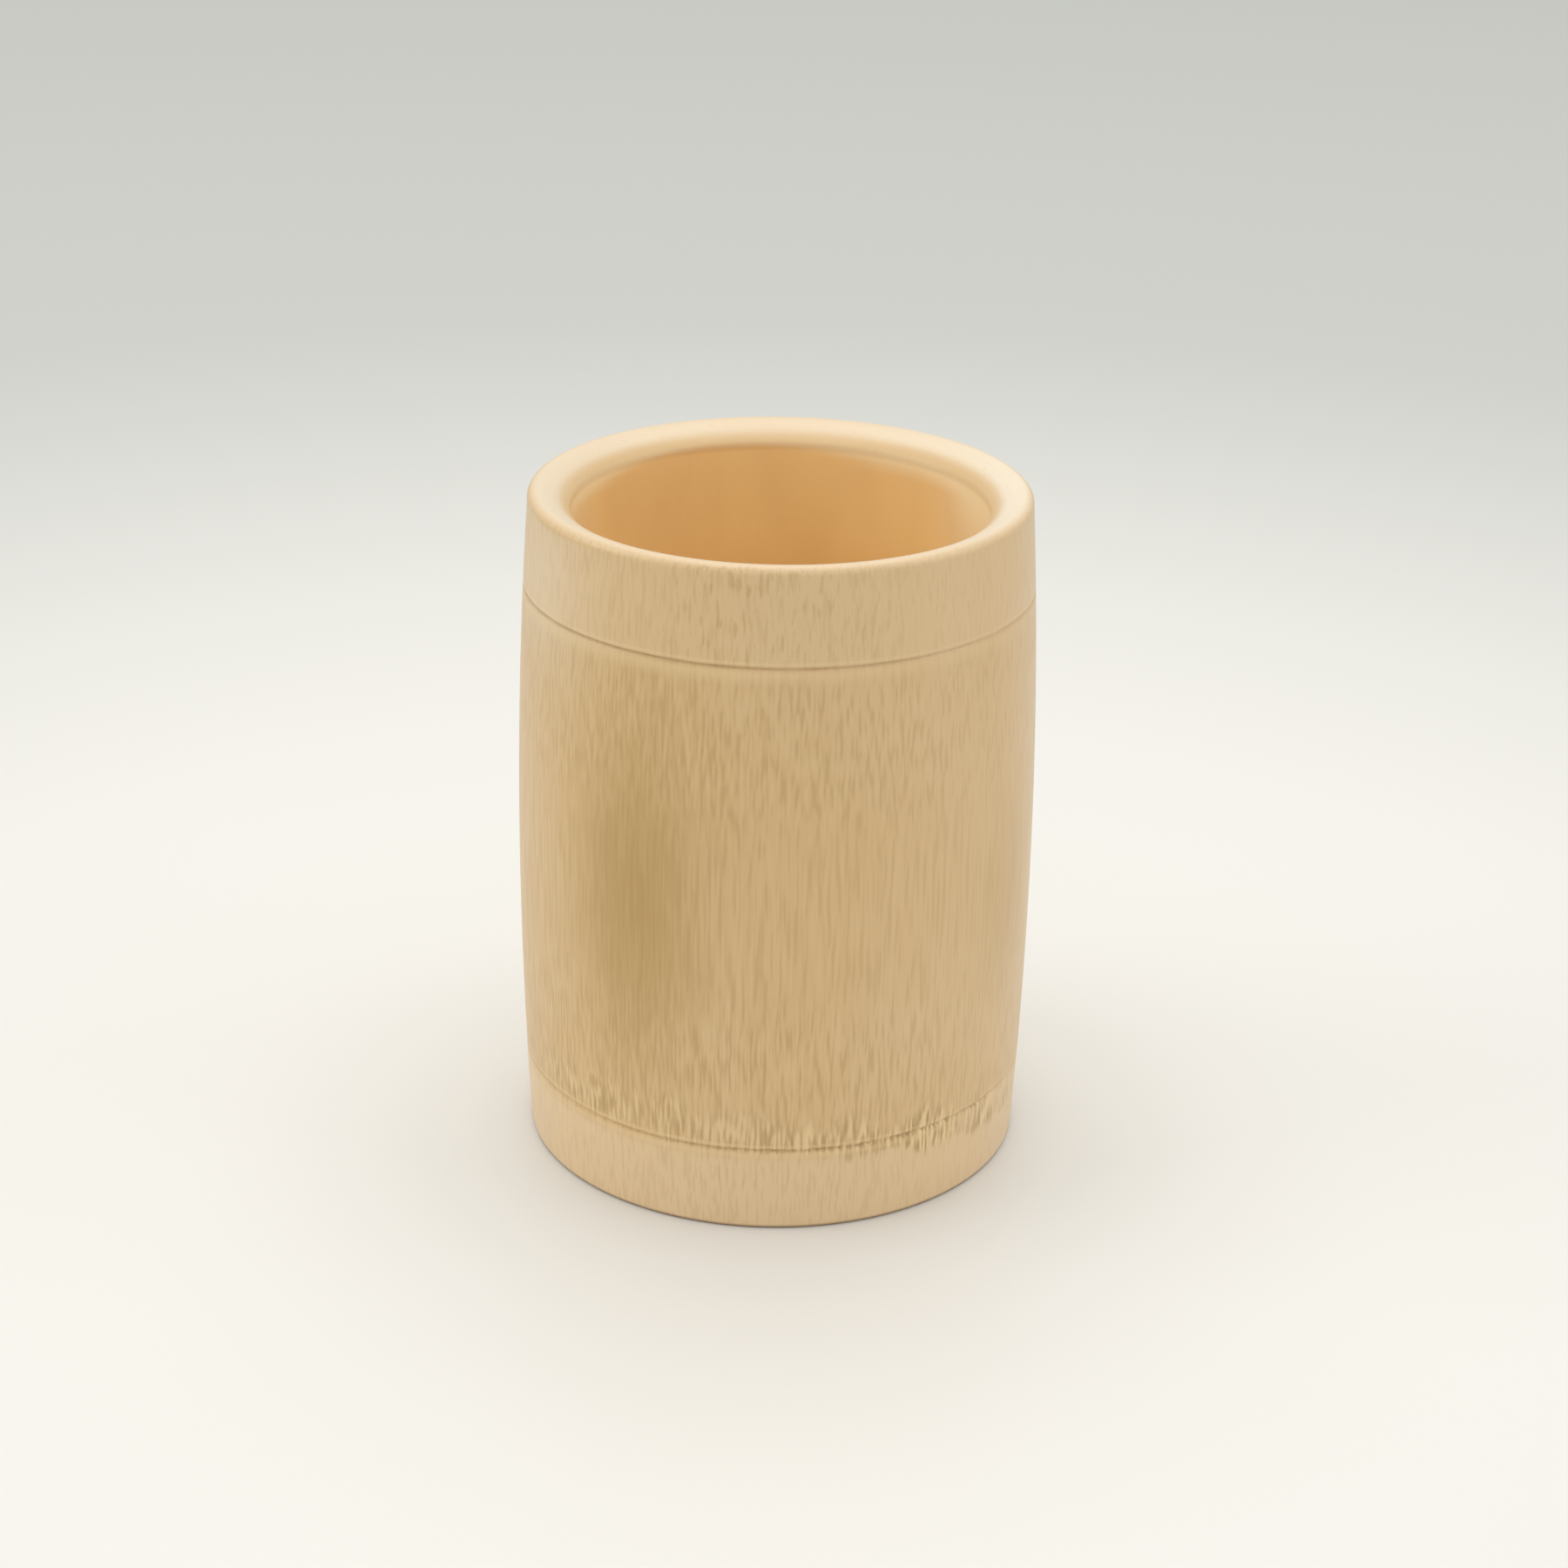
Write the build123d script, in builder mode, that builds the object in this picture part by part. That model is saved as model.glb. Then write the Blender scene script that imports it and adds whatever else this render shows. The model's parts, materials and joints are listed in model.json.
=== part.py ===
"""Turned bamboo cup: a length of culm whose own node is left in as the floor.

Millimetres, +Z up along the cup's axis, origin in the middle of the plane that the foot stands on.
Two solids: the turned culm wall, and the node's diaphragm seated on the node ring inside it.
"""

import os
from math import cos, radians, sin, sqrt

from build123d import *

# Driving dimensions: the barrel-turned outside
cup_height = 113.0
belly_radius = 43.0
belly_height = 50.0
foot_draw_in = 1.3
mouth_draw_in = 2.25
foot_edge_round = 0.8

# Driving dimensions: the wall and its lip
mouth_wall = 7.0
lip_drop = 3.3
lip_edge_round = 1.4
lip_edge_slope = 17.5  # degrees below level
lip_bore_round = 1.5

# Driving dimensions: the two scored lines, each a right-angled V
score_depth = 0.45
lip_band = 15.8
node_height = 14.7

# Driving dimensions: the node inside and the foot under it
diaphragm_thickness = 4.0
diaphragm_dish = 0.8
floor_cove = 3.0
floor_land = 0.6
node_ring_width = 3.0
node_ring_height = 3.0
foot_wall = 8.5
recess_cove = 1.2
seat_clearance = 0.05

# Radii of the wall, outside and inside, and the height where the barrel ends under the lip's edge
foot_radius = belly_radius - foot_draw_in
mouth_radius = belly_radius - mouth_draw_in
bore_radius = mouth_radius - mouth_wall
recess_radius = foot_radius - foot_wall
barrel_top = cup_height - lip_edge_round
score_cutter_reach = 3 * score_depth

# The node's levels and radii: the diaphragm is centred on the node and lies on the ring's ledge
floor_level = node_height + diaphragm_thickness / 2
ledge_level = floor_level - diaphragm_thickness
ring_underside = ledge_level - node_ring_height
seat_radius = bore_radius - floor_cove - floor_land
ring_radius = seat_radius - node_ring_width


def outside_radius(height):
    """Radius of the turned outside at a height: an arc that leaves the belly upright and draws in to an end."""
    run, draw_in = belly_height, foot_draw_in
    if height > belly_height:
        run, draw_in = barrel_top - belly_height, mouth_draw_in
    arc_radius = (run**2 + draw_in**2) / (2 * draw_in)
    return belly_radius - arc_radius + sqrt(arc_radius**2 - (height - belly_height) ** 2)


with BuildPart() as culm_wall:
    with BuildSketch(Plane.XZ) as wall_section:
        with BuildLine():
            belly = (belly_radius, belly_height)
            foot_outer = (foot_radius, 0)
            foot_inner = (recess_radius, 0)
            lip_outer = (mouth_radius, barrel_top)
            lip_crest = (
                mouth_radius - lip_edge_round * (1 + sin(radians(lip_edge_slope))),
                barrel_top + lip_edge_round * cos(radians(lip_edge_slope)),
            )
            lip_inner = (bore_radius, cup_height - lip_drop)
            floor_corner = (bore_radius, floor_level)
            recess_corner = (recess_radius, ring_underside)
            TangentArc(belly, foot_outer, tangent=(0, -1))
            barrel = TangentArc(belly, lip_outer, tangent=(0, 1))
            # The lip turns over its outer edge, then falls ever more steeply to the bore.
            edge = TangentArc(lip_outer, lip_crest, tangent=barrel % 1)
            TangentArc(lip_crest, lip_inner, tangent=edge % 1)
            Polyline(
                lip_inner,
                floor_corner,
                (seat_radius, floor_level),
                (seat_radius, ledge_level),
                (ring_radius, ledge_level),
                (ring_radius, ring_underside),
                recess_corner,
                foot_inner,
                foot_outer,
            )
        make_face()
        roundings = {
            lip_inner: lip_bore_round,
            floor_corner: floor_cove,
            recess_corner: recess_cove,
            foot_inner: foot_edge_round,
            foot_outer: foot_edge_round,
        }
        for corner, radius in roundings.items():
            fillet(wall_section.vertices().sort_by_distance(corner)[0], radius)
    revolve(axis=Axis.Z)

    # Each scored line is cut by the inner corner of a square stood on that corner and carried round the outside.
    with BuildSketch(Plane.XZ):
        for height in (node_height, cup_height - lip_band):
            with Locations((outside_radius(height) - score_depth + score_cutter_reach, height)):
                Rectangle(score_cutter_reach * sqrt(2), score_cutter_reach * sqrt(2), rotation=45)
    revolve(axis=Axis.Z, mode=Mode.SUBTRACT)

with BuildPart() as node_diaphragm:
    edge_radius = seat_radius - seat_clearance
    with BuildSketch(Plane.XZ):
        with BuildLine():
            # The floor dishes towards the axis, and the underside hollows inside the ledge.
            floor_edge = (edge_radius, floor_level)
            floor_middle = (0, floor_level - diaphragm_dish)
            under_middle = (0, ledge_level + diaphragm_dish)
            ledge_edge = (ring_radius, ledge_level)
            TangentArc(floor_middle, floor_edge, tangent=(1, 0))
            TangentArc(under_middle, ledge_edge, tangent=(1, 0))
            Line(floor_middle, under_middle)
            Polyline(ledge_edge, (edge_radius, ledge_level), floor_edge)
        make_face()
    revolve(axis=Axis.Z)

culm_wall.part.label = "culm_wall"
node_diaphragm.part.label = "node_diaphragm"

os.makedirs("parts", exist_ok=True)
export_step(culm_wall.part, "parts/culm_wall.step")
export_step(node_diaphragm.part, "parts/node_diaphragm.step")
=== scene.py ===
"""Bamboo cup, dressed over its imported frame: a turned length of culm whose own node is the floor.

Metres, +Z up along the cup's axis. The camera's side faces -Y.
"""

import json
import math

import bpy
import numpy as np
from bpy.props import FloatProperty, FloatVectorProperty, PointerProperty
from mathutils import Matrix, Vector


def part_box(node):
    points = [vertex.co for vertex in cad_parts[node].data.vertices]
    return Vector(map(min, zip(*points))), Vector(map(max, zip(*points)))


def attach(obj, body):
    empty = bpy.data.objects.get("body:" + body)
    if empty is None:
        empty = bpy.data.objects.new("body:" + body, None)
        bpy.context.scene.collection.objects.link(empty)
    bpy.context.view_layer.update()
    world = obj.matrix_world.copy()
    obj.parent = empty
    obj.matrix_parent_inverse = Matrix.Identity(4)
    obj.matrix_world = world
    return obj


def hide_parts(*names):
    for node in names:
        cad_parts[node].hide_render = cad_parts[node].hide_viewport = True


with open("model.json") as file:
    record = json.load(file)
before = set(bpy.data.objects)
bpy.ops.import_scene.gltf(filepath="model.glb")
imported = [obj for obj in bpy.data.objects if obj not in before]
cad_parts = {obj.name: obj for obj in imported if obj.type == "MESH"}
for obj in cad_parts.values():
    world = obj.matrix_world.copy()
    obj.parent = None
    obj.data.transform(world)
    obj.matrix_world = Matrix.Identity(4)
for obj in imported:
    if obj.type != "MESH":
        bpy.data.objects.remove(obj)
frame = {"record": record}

bl_info = {
    "name": "Bamboo cup",
    "version": (1, 0, 0),
    "blender": (4, 5, 0),
    "location": "View3D > Sidebar > Bamboo cup",
    "description": "Turns the culm wall, lays the node's diaphragm in it and sets the stage",
    "category": "Add Mesh",
}

MM = 0.001
FRONT = -math.pi / 2  # the angle of the side that faces the camera

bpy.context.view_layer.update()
wall_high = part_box("culm_wall")[1]
septum_low, septum_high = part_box("node_diaphragm")
mouth_bore = next(mount for mount in frame["record"]["mounts"] if mount["name"] == "mouth_bore")

LEVEL_TOP = wall_high.z + 0.02 * MM  # the sloping lip stays a little under it
NODE_MIDDLE = (septum_low.z + septum_high.z) / 2

# Seeds of the noise
TIP_SEED, SWAY_SEED, CLUSTER_SEED = 11, 12, 13
UPPER_LINE_SEED, LOWER_LINE_SEED = 21, 22
STRAND_SEED, BARREL_SEED = 31, 32
WRINKLE_SEED, FINE_WRINKLE_SEED = 51, 52


# Properties

def length(name, description, default):
    """A length in metres that a user can change."""
    return FloatProperty(name=name, description=description, default=default, unit="LENGTH", precision=5)


def angle(name, description, degrees):
    """An angle that a user can change, given in degrees."""
    return FloatProperty(name=name, description=description, default=math.radians(degrees), unit="ROTATION")


def measure(name, description, default, unit="NONE"):
    """A number that a user can change: a plain factor, or one in the unit that is named."""
    return FloatProperty(name=name, description=description, default=default, unit=unit, precision=3)


def linear(level):
    """Linear light of one screen level from 0 to 255, by the sRGB curve."""
    level /= 255
    return level / 12.92 if level <= 0.04045 else ((level + 0.055) / 1.055) ** 2.4


def tone(name, description, red, green, blue):
    """A colour that a user can change, given in screen levels and kept in linear light."""
    default = (linear(red), linear(green), linear(blue))
    return FloatVectorProperty(
        name=name, description=description, default=default, subtype="COLOR", min=0, max=1
    )


class CupSizes(bpy.types.PropertyGroup):
    """The turned sizes of the cup. What the frame measures is read from it."""

    belly_radius: length("Belly radius", "Outside radius where the barrel is widest", wall_high.x)
    belly_height: length("Belly height", "Height of the widest place", 50 * MM)
    foot_draw_in: length("Foot draw-in", "How much the outside narrows to the foot", 1.3 * MM)
    mouth_draw_in: length("Mouth draw-in", "How much the outside narrows to the mouth", 2.25 * MM)
    cup_height: length("Cup height", "Height where the lip's edge would end if it were level", LEVEL_TOP)
    lip_edge_round: length("Lip edge round", "Radius of the lip's outer edge", 1.4 * MM)
    lip_edge_slope: angle("Lip edge slope", "How far the lip falls inwards past its edge", 17.5)
    lip_drop: length("Lip drop", "How far the lip falls from its edge to the bore", 3.3 * MM)
    lip_bore_round: length("Lip bore round", "Radius where the lip turns into the bore", 1.5 * MM)
    bore_radius: length("Bore radius", "Radius of the inside", mouth_bore["dims"]["r_mm"] * MM)
    score_depth: length("Score depth", "Depth of each scored line, a right-angled V", 0.45 * MM)
    lip_band: length("Lip band", "From the top of the cup to the upper line", 15.8 * MM)
    node_height: length("Node height", "Height of the lower line, at the node", NODE_MIDDLE)
    floor_level: length("Floor level", "Height of the floor's edge", septum_high.z)
    ledge_level: length("Ledge level", "Height of the ledge that the diaphragm lies on", septum_low.z)
    septum_radius: length("Diaphragm radius", "Radius of the diaphragm", septum_high.x)
    septum_dish: length("Diaphragm dish", "How much each face of the diaphragm is hollowed", 0.8 * MM)
    seat_clearance: length("Seat clearance", "Room round the diaphragm's edge", 0.05 * MM)
    floor_cove: length("Floor cove", "Radius between the bore and the floor", 3 * MM)
    ring_width: length("Node ring width", "Width of the ledge", 3 * MM)
    ring_height: length("Node ring height", "Thickness of the ring under the ledge", 3 * MM)
    foot_wall: length("Foot wall", "Width of the ring that the cup stands on", 8.5 * MM)
    foot_edge_round: length("Foot edge round", "Radius of the foot's edges", 0.8 * MM)
    recess_cove: length("Recess cove", "Radius in the corner of the recess under the foot", 1.2 * MM)


class CupColours(bpy.types.PropertyGroup):
    """The colours of the bamboo's tissues, and those that paint light and shade on them."""

    culm: tone("Culm", "Ground colour of the turned outside", 205, 172, 120)
    # Painted light: the right side gets this lighter, rosier ground; broad noise also mixes it in as random
    # tone.
    culm_rosy_and_lit: tone("Rosy culm", "Ground colour where the outside is pinker", 210, 179, 133)
    # Painted light: paler below the node, for the light the floor bounces onto it; it also lightens the band
    # under the lip.
    foot: tone("Foot", "Ground colour below the node", 222, 194, 153)
    olive: tone("Olive stain", "Where green skin was close under the cut", 176, 142, 80)
    fibre_dark: tone("Dark fibre", "Fibre bundles cut along their length", 170, 137, 83)
    fibre_pale: tone("Pale fibre", "Soft tissue between the bundles", 216, 187, 139)
    tuft_dark: tone("Dark tuft", "Gaps between the node's tufts", 162, 131, 78)
    tuft_pale: tone("Pale tuft", "Tufts of fibre at the node", 224, 197, 149)
    # Painted shade: this colour darkens the bottom of the scored lines and the foot's rounded edge.
    score: tone("Score", "Bottom of the scored lines", 150, 118, 72)
    end_grain: tone("End grain", "Cut end of the culm at lip and foot", 212, 191, 159)
    # Painted light: this paler colour lightens the lip's cut end at its sides and a patch under the lip.
    pale_light: tone("Pale end grain", "Cut end of the culm where it is whiter", 223, 209, 185)
    bevel: tone("Inner lip", "Cut end of the culm's inner tissue", 206, 176, 128)
    # Painted shade: the inner lip's darker colour where the mouth is in shade, towards the back.
    bevel_shade: tone("Amber inner lip", "The same tissue where it has turned amber", 196, 148, 91)
    end_dot: tone("End dot", "Ends of the fibre bundles", 198, 166, 118)
    inside: tone("Inside", "Varnished soft tissue of the bore", 242, 206, 141)
    # Painted light: the bore is given the lighter inside colour further down, against its shade, and this one
    # at its mouth.
    inside_dark: tone("Inside streak", "Deeper streaks of the bore", 230, 191, 129)
    # Painted light: the bore's paler colour where light falls on the mouth's sides.
    inside_lit: tone("Pale inside", "Where the bore's mouth has not turned amber", 244, 226, 184)
    septum: tone("Diaphragm", "Ground colour of the node's tissue", 240, 208, 144)
    septum_dark: tone("Diaphragm fibres", "Fibres and hollows of the node's tissue", 208, 164, 106)


class CupStage(bpy.types.PropertyGroup):
    """The camera that matches the reference view, the floor and the lights."""

    lens: measure("Lens", "Focal length in millimetres on a 36 mm sensor", 71.477, "CAMERA")
    distance: length("Distance", "From the camera to the point it is set out from", 520.86 * MM)
    aim_height: length("Aim height", "Height of that point on the cup's axis", 60.922 * MM)
    pitch: angle("Pitch", "How far the camera looks down", 22.975)
    yaw: angle("Yaw", "How far the camera looks to the right of the axis", 0.153)
    roll: angle("Roll", "How far the camera is rolled", 0.9523)
    floor_near: tone("Near floor", "Floor under and round the cup", 219, 218, 214)
    floor_far: tone("Far floor", "Floor far behind the cup", 180, 182, 179)
    backdrop: tone("Backdrop", "What the camera sees above the floor", 204, 205, 200)
    sky: tone("Sky", "Light from all sides", 255, 253, 249)
    sky_level: measure("Sky level", "Strength of the light from all sides", 0.98)
    top_watts: measure("Overhead light", "Power of the soft light above, in watts", 12.0, "POWER")
    left_watts: measure("Left light", "Power of the soft light on the left, in watts", 11.2, "POWER")
    right_watts: measure("Right light", "Power of the soft light on the right, in watts", 6.0, "POWER")


# Shapes: a section in (radius, height), carried round the axis

def arc(centre, radius, start, end, steps):
    """Points of an arc: centre plus radius times (cos, sin) of angles that run evenly from start to end."""
    turn = np.linspace(start, end, steps)
    return np.column_stack((centre[0] + radius * np.cos(turn), centre[1] + radius * np.sin(turn)))


def tangent_arc(start, heading, end):
    """Centre, radius and both angles of the arc that leaves start along heading, turns left and ends at end.

    The centre lies on the left normal at start, as far off as the chord's square over twice the chord's share
    along that normal. The arc turns by twice the angle between heading and chord.
    """
    chord = np.subtract(end, start)
    normal = np.array((-heading[1], heading[0]))
    radius = chord @ chord / (2 * chord @ normal)
    centre = start + normal * radius
    first = math.atan2(start[1] - centre[1], start[0] - centre[0])
    sweep = 2 * math.atan2(heading[0] * chord[1] - heading[1] * chord[0], heading @ chord)
    return centre, radius, first, first + sweep


def outside_radius(sizes, height):
    """Radius of the turned outside: an arc that is upright at the belly and draws in to each end.

    With run up or down from the belly and the draw-in at its end, the arc's radius is
    (run squared + draw-in squared) / (2 draw-in).
    """
    upper = height > sizes.belly_height
    top = sizes.cup_height - sizes.lip_edge_round
    run = np.where(upper, top - sizes.belly_height, sizes.belly_height)
    draw_in = np.where(upper, sizes.mouth_draw_in, sizes.foot_draw_in)
    radius = (run**2 + draw_in**2) / (2 * draw_in)
    return sizes.belly_radius - radius + np.sqrt(radius**2 - (height - sizes.belly_height) ** 2)


def bell(distance, spread):
    """A smooth hump: e to the minus (distance over spread) squared."""
    return np.exp(-((distance / spread) ** 2))


def smooth_step(low, high, value):
    """0 below low and 1 above high, with the cubic 3t^2 - 2t^3 between."""
    t = np.clip((value - low) / (high - low), 0, 1)
    return t * t * (3 - 2 * t)


SPARE_LEVELS = 8  # levels of the lattice that lie under height zero


def ring_noise(seed, turn, height, posts, rise):
    """Smooth noise from -1 to 1 that closes on itself round the axis.

    Random values stand on a lattice of posts round the ring and of levels one rise apart, and each point
    blends the four nearest by the cubic smooth step of its place between them.
    """
    across = (turn / (2 * math.pi)) % 1 * posts
    up = height / rise + SPARE_LEVELS
    column = np.floor(across).astype(int)
    level = np.floor(up).astype(int)
    lattice = np.random.default_rng(seed).uniform(-1, 1, (level.max() + 2, posts))
    sideways = smooth_step(0, 1, across - column)
    upwards = smooth_step(0, 1, up - level)
    left, right = column % posts, (column + 1) % posts
    low = lattice[level, left] * (1 - sideways) + lattice[level, right] * sideways
    high = lattice[level + 1, left] * (1 - sideways) + lattice[level + 1, right] * sideways
    return low * (1 - upwards) + high * upwards


def grid_faces(rows, columns, closed):
    """Corner numbers of the quads of a grid that closes round its columns and, if closed, its rows too."""
    row = np.arange(rows if closed else rows - 1)[:, None]
    column = np.arange(columns)[None, :]
    above, beside = (row + 1) % rows, (column + 1) % columns
    here, there = row * columns, above * columns
    corners = (here + column, here + beside, there + beside, there + column)
    return np.stack(corners, axis=-1).reshape(-1, 4)


def fan_faces(rim, pole, outward):
    """Corner numbers of the triangles that close a ring of points on its pole."""
    following = np.roll(rim, -1)
    poles = np.full_like(rim, pole)
    return np.column_stack((rim, following, poles) if outward else (following, rim, poles))


CREASE = math.radians(50)  # edges sharper than this are shaded as creases


def make_piece(name, points, faces, node, material):
    """Makes the mesh object, lets it stand for its CAD node and gives it its finish."""
    mesh = bpy.data.meshes.new(name)
    mesh.from_pydata(points.reshape(-1, 3).tolist(), [], faces)
    mesh.polygons.foreach_set("use_smooth", np.ones(len(mesh.polygons), bool))
    mesh.set_sharp_from_angle(angle=CREASE)
    mesh.materials.append(material)
    mesh.update()
    if mesh.validate():
        raise RuntimeError(f"{name} has faces that had to be mended")
    piece = bpy.data.objects.new(name, mesh)
    bpy.context.scene.collection.objects.link(piece)
    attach(piece, "root")
    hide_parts(node)
    return piece


def store(mesh, name, values):
    """Keeps one number for each vertex, which the finish reads by name."""
    attribute = mesh.attributes.new(name, "FLOAT", "POINT")
    attribute.data.foreach_set("value", np.ascontiguousarray(values, np.float32).ravel())


# The culm wall

WALL_COLUMNS = 840


def line_heights(sizes):
    """Heights of the lower and the upper scored line."""
    return sizes.node_height, sizes.cup_height - sizes.lip_band


def barrel_heights(sizes, low, high):
    """Heights of the rows up the outside: few on the plain barrel, more at the node, most at the lines.

    Each stretch is evenly spaced and ends a little clear of the lines.
    """
    lower, upper = line_heights(sizes)
    clear, fringe_top, body_foot = 1 * MM, 12 * MM, 13 * MM
    across_line = np.linspace(-1.3, 1.3, 9) * sizes.score_depth
    foot_band = np.linspace(low, lower - clear, 12)
    fringe = np.linspace(lower + clear, lower + fringe_top, 16)
    body = np.linspace(lower + body_foot, upper - clear, 12)
    lip_band = np.linspace(upper + clear, high, 6)
    return np.concatenate((foot_band, lower + across_line, fringe, body, upper + across_line, lip_band))


def lip_section(sizes):
    """The lip's outer edge, its slope that falls ever more steeply inwards, and its round into the bore."""
    top = sizes.cup_height - sizes.lip_edge_round
    mouth = sizes.belly_radius - sizes.mouth_draw_in
    lean = 2 * math.atan2(sizes.mouth_draw_in, top - sizes.belly_height)
    heading = np.array((-math.sin(lean), math.cos(lean)))
    crest = (
        mouth - sizes.lip_edge_round * (1 + math.sin(sizes.lip_edge_slope)),
        top + sizes.lip_edge_round * math.cos(sizes.lip_edge_slope),
    )
    centre, radius, first, last = tangent_arc(np.array((mouth, top)), heading, crest)
    edge = arc(centre, radius, first, last, 9)
    heading = np.array((-math.sin(last), math.cos(last)))
    inner = (sizes.bore_radius, sizes.cup_height - sizes.lip_drop)
    centre, radius, first, _ = tangent_arc(np.array(crest), heading, inner)
    # The round's centre is one round inside the bore's line and one round inside the slope's arc.
    across = sizes.bore_radius + sizes.lip_bore_round - centre[0]
    rise = math.sqrt((radius - sizes.lip_bore_round) ** 2 - across**2)
    meeting = math.atan2(rise, across)
    slope = arc(centre, radius, first, meeting, 9)
    turn_in = arc(centre + (across, rise), sizes.lip_bore_round, meeting, math.pi, 5)
    return edge, slope, turn_in


def inside_section(sizes):
    """The cove, the diaphragm's ledge, the ring under it, the recess and the foot, in that order."""
    quarter = math.pi / 2
    seat = sizes.septum_radius + sizes.seat_clearance
    ring = seat - sizes.ring_width
    underside = sizes.ledge_level - sizes.ring_height
    foot = sizes.belly_radius - sizes.foot_draw_in
    recess = foot - sizes.foot_wall
    cove_middle = (sizes.bore_radius - sizes.floor_cove, sizes.floor_level + sizes.floor_cove)
    corner_middle = (recess - sizes.recess_cove, underside - sizes.recess_cove)
    inner_middle = (recess + sizes.foot_edge_round, sizes.foot_edge_round)
    outer_middle = (foot - sizes.foot_edge_round, sizes.foot_edge_round)
    cove = arc(cove_middle, sizes.floor_cove, 0, -quarter, 6)
    ledge = np.array(
        (
            (seat, sizes.floor_level),
            (seat, sizes.ledge_level),
            (ring, sizes.ledge_level),
            (ring, underside),
        )
    )
    corner = arc(corner_middle, sizes.recess_cove, quarter, 0, 5)
    inner_edge = arc(inner_middle, sizes.foot_edge_round, 2 * quarter, 3 * quarter, 5)
    outer_edge = arc(outer_middle, sizes.foot_edge_round, -quarter, 0, 6)
    return cove, ledge, corner, inner_edge, outer_edge


class WallSection:
    """The wall's closed section with, for each of its rows, how far it belongs to each zone."""

    def __init__(self, sizes):
        edge, slope, turn_in = lip_section(sizes)
        cove, ledge, corner, inner_edge, outer_edge = inside_section(sizes)
        foot_gap, lip_gap = 0.4 * MM, 0.6 * MM
        heights = barrel_heights(sizes, sizes.foot_edge_round + foot_gap, edge[0, 1] - lip_gap)
        barrel = np.column_stack((outside_radius(sizes, heights), heights))
        self.bore_top = turn_in[-1, 1]
        near_mouth = (0.6 * MM, 1.5 * MM, 3 * MM)
        deeper = np.linspace(0, self.bore_top - cove[0, 1], 5)[1:-1]
        below = np.concatenate((near_mouth, deeper))
        bore = np.column_stack((np.full(len(below), sizes.bore_radius), self.bore_top - below))
        stretches = (outer_edge, barrel, edge, slope[1:], turn_in[1:], bore, cove, ledge, corner, inner_edge)
        self.points = np.concatenate(stretches)
        ends = np.cumsum([len(stretch) for stretch in stretches])
        index = np.arange(ends[-1])
        self.barrel = (index >= ends[0]) & (index < ends[1])
        self.on_edge = (index >= ends[1]) & (index < ends[2])
        # The outside runs to the crest of the lip, the inside from there to the edge of the floor.
        self.crest = ends[2] - 1
        self.floor_edge = ends[6]
        self.past_crest = (index > self.crest) & (index < self.floor_edge)
        self.under = index > self.floor_edge
        self.foot_edge = index < ends[0]

    def zones(self, sizes):
        """Each row's share of the lip, its inner bevel, the inside, the underside and the foot's edge, where
        shade is painted.

        Smooth steps bring in the lip as the edge turns over, the bevel over it towards the bore, the inside
        over both at the bore's top, and the painted shade of the foot's edge towards the floor.
        """
        radius, height = self.points.T
        along_edge = (np.arange(len(height)) - self.crest) / self.on_edge.sum() + 1
        turned_over = smooth_step(0.2, 1.1, along_edge)
        inside = smooth_step(0.9 * MM, -0.7 * MM, height - self.bore_top) * self.past_crest
        bevel = smooth_step(2.6 * MM, 0.9 * MM, radius - sizes.bore_radius) * self.past_crest
        lip = np.where(self.on_edge, turned_over, self.past_crest)
        # Painted shade: the foot's rounded edge is darkened as if in its contact shadow on the floor.
        foot_shade = smooth_step(sizes.foot_edge_round, 0.3 * sizes.foot_edge_round, height) * self.foot_edge
        return {"lip": lip, "bevel": bevel, "inside": inside, "under": self.under.astype(float), "foot_shade": foot_shade}


def from_front(turn):
    """Angle from the side that faces the camera: negative to the left, positive to the right."""
    return (turn - FRONT + math.pi) % (2 * math.pi) - math.pi


def tuft_field(sizes, turn, height):
    """How far a place belongs to the node's fringe of tufts: 1 along the node, fading at ragged tips.

    The node lies askew in the culm, so each end of the tufts follows the cosine of the angle from where it
    is highest. Noise round the ring moves each tuft's tips, and the field is one smooth step down to the
    upper tip times one down to the lower tip. The tufts stand in clusters and are strongest in front, by
    the cosine of the angle from their strongest place.
    """
    level = np.zeros_like(height)
    off = from_front(turn)
    ragged = ring_noise(TIP_SEED, turn, level, 300, 1) + 0.7 * ring_noise(SWAY_SEED, turn, level, 60, 1)
    clusters = 1 + 0.4 * ring_noise(CLUSTER_SEED, turn, level, 44, 1)
    strength = np.maximum(0.35 + 0.95 * np.cos(off - math.radians(20)), 0.2)
    # Where the tufts end, in millimetres from the node
    top = sizes.node_height + (1.8 + 7 * np.cos(off + math.radians(35)) + 1.8 * ragged) * MM
    bottom = sizes.node_height + (-4.6 + 5 * np.cos(off + math.radians(45)) - 0.9 * ragged) * MM
    upper_fade, lower_fade = 3.5 * MM, 1.2 * MM
    upper = smooth_step(0, upper_fade, top - height)
    lower = smooth_step(0, lower_fade, height - bottom)
    return upper * lower * clusters * strength


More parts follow.
